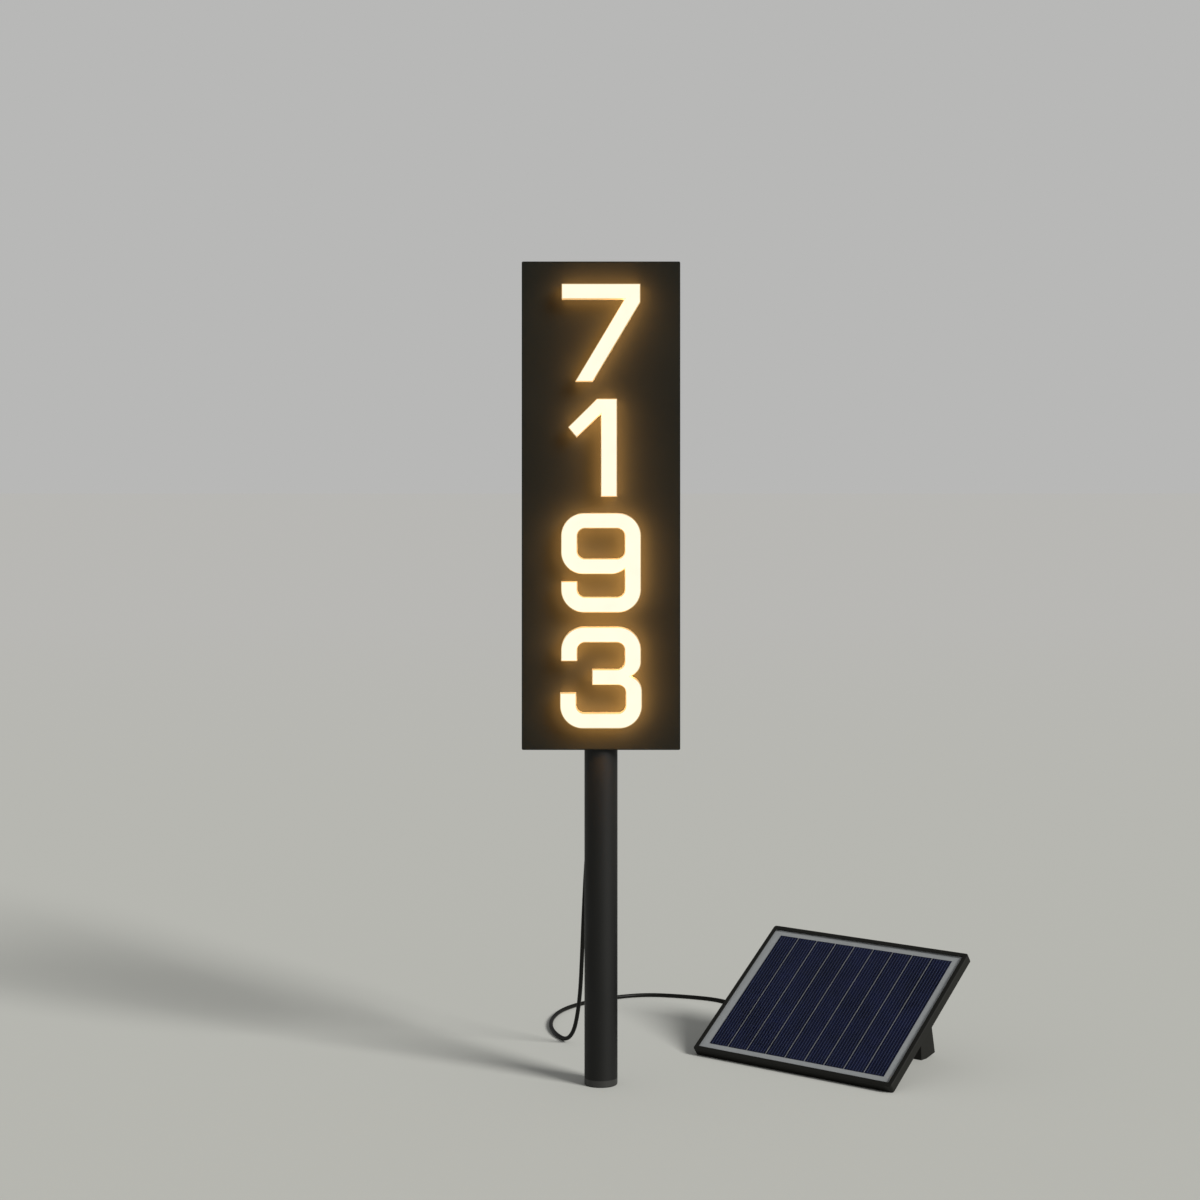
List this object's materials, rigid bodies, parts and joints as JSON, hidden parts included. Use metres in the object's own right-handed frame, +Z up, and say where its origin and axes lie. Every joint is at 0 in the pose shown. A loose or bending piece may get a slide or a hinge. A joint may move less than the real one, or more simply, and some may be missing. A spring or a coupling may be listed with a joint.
{
  "type": "illuminated house number sign",
  "caption": "Lit house number sign: a slim box with raised glowing figures on a round post, fed by a cable from a small solar panel on a folding stand.",
  "frame": {"origin": "centre of the post's foot, on the ground, at the mouth of its threaded insert", "axes": "+Z up along the post, -Y the way the lit face looks, +X to the right of someone reading it"},
  "size_m": [0.4686, 0.4434, 0.835],
  "materials": {
    "back_plastic": "black moulding",
    "bare_steel": "zinc plated",
    "black_screw": "blackened",
    "board_green": "board with solder mask",
    "board_white": "white LED board",
    "button_plastic": "grey",
    "cable_jacket": "black cable",
    "cell_silicon": "blue silicon",
    "cell_wrap": "shrink wrap",
    "cover_paint": "matt black powder coat",
    "diffuser": "opal sheet",
    "figure_acrylic": "opal, lit",
    "frame_plastic": "black moulding",
    "gasket_rubber": "closed-cell gasket",
    "gland_nylon": "black nylon",
    "holder_black": "moulded",
    "insert_brass": "threaded insert",
    "insert_paint": "matt black powder coat",
    "lead_jacket": "round lead",
    "lead_red": "lead",
    "led_face": "LED packages",
    "panel_glass": "clear",
    "part_black": "moulded components",
    "plug_nylon": "black nylon",
    "post_paint": "matt black powder coat",
    "sheet_white": "pale grey sheet",
    "shell_paint": "matt black powder coat",
    "spacer_nylon": "natural nylon",
    "spigot_cast": "cast",
    "stainless": "stainless",
    "stand_plastic": "black moulding",
    "strap_fabric": "woven strap",
    "switch_plastic": "black",
    "terminal_plastic": "terminal block",
    "tray_metal": "white coated"
  },
  "bodies": {
    "root": {"back_sheet": "sheet_white", "battery_cells": "cell_wrap", "battery_holder": "holder_black", "battery_lead": "lead_red", "battery_strap": "strap_fabric", "board_screws": "bare_steel", "board_standoffs": "spacer_nylon", "bracket_screws": "stainless", "cell_strips": "cell_silicon", "controller_board": "board_green", "controller_parts": "part_black", "cover_screws": "stainless", "diffuser_sheet": "diffuser", "face_shell": "shell_paint", "face_studs": "bare_steel", "foot_insert": "insert_brass", "foot_plug": "plug_nylon", "grub_screws": "black_screw", "junction_cover": "back_plastic", "junction_gasket": "gasket_rubber", "junction_screws": "stainless", "led_boards": "board_white", "led_lead": "lead_red", "led_tray": "tray_metal", "leds": "led_face", "left_hinge_bracket": "stand_plastic", "nine_counter_insert": "insert_paint", "numeral_nine": "figure_acrylic", "numeral_one": "figure_acrylic", "numeral_seven": "figure_acrylic", "numeral_three": "figure_acrylic", "panel_back": "back_plastic", "panel_frame": "frame_plastic", "panel_gland_body": "gland_nylon", "panel_gland_nut": "gland_nylon", "panel_gland_seal": "gasket_rubber", "panel_glass": "panel_glass", "panel_lead": "lead_jacket", "pivot_pins": "stainless", "post_spigot": "spigot_cast", "post_tube": "post_paint", "press_nuts": "bare_steel", "rear_cover": "cover_paint", "rear_gasket": "gasket_rubber", "right_hinge_bracket": "stand_plastic", "sign_gland_body": "gland_nylon", "sign_gland_locknut": "gland_nylon", "sign_gland_nut": "gland_nylon", "sign_gland_seal": "gasket_rubber", "solar_cable": "cable_jacket", "spigot_screws": "bare_steel", "stud_nuts": "bare_steel", "switch_body": "switch_plastic", "switch_lead": "lead_jacket", "switch_nut": "bare_steel", "terminal_block": "terminal_plastic", "tray_spacers": "spacer_nylon"},
    "stand": {"kick_stand": "stand_plastic"},
    "button": {"power_button": "button_plastic"}
  },
  "joints": [
    {"name": "stand_fold", "type": "hinge", "parent": "root", "child": "stand", "pos_m": [0.18699, 0.22601, 0.08455], "axis": [-0.7688, 0.6394, 0], "range_deg": [0, 58]},
    {"name": "button_press", "type": "slide", "parent": "root", "child": "button", "axis": [0, -1, 0], "range_m": [0, 0.0018], "stiffness_N_per_m": 1000, "springref_m": -0.0008}
  ]
}
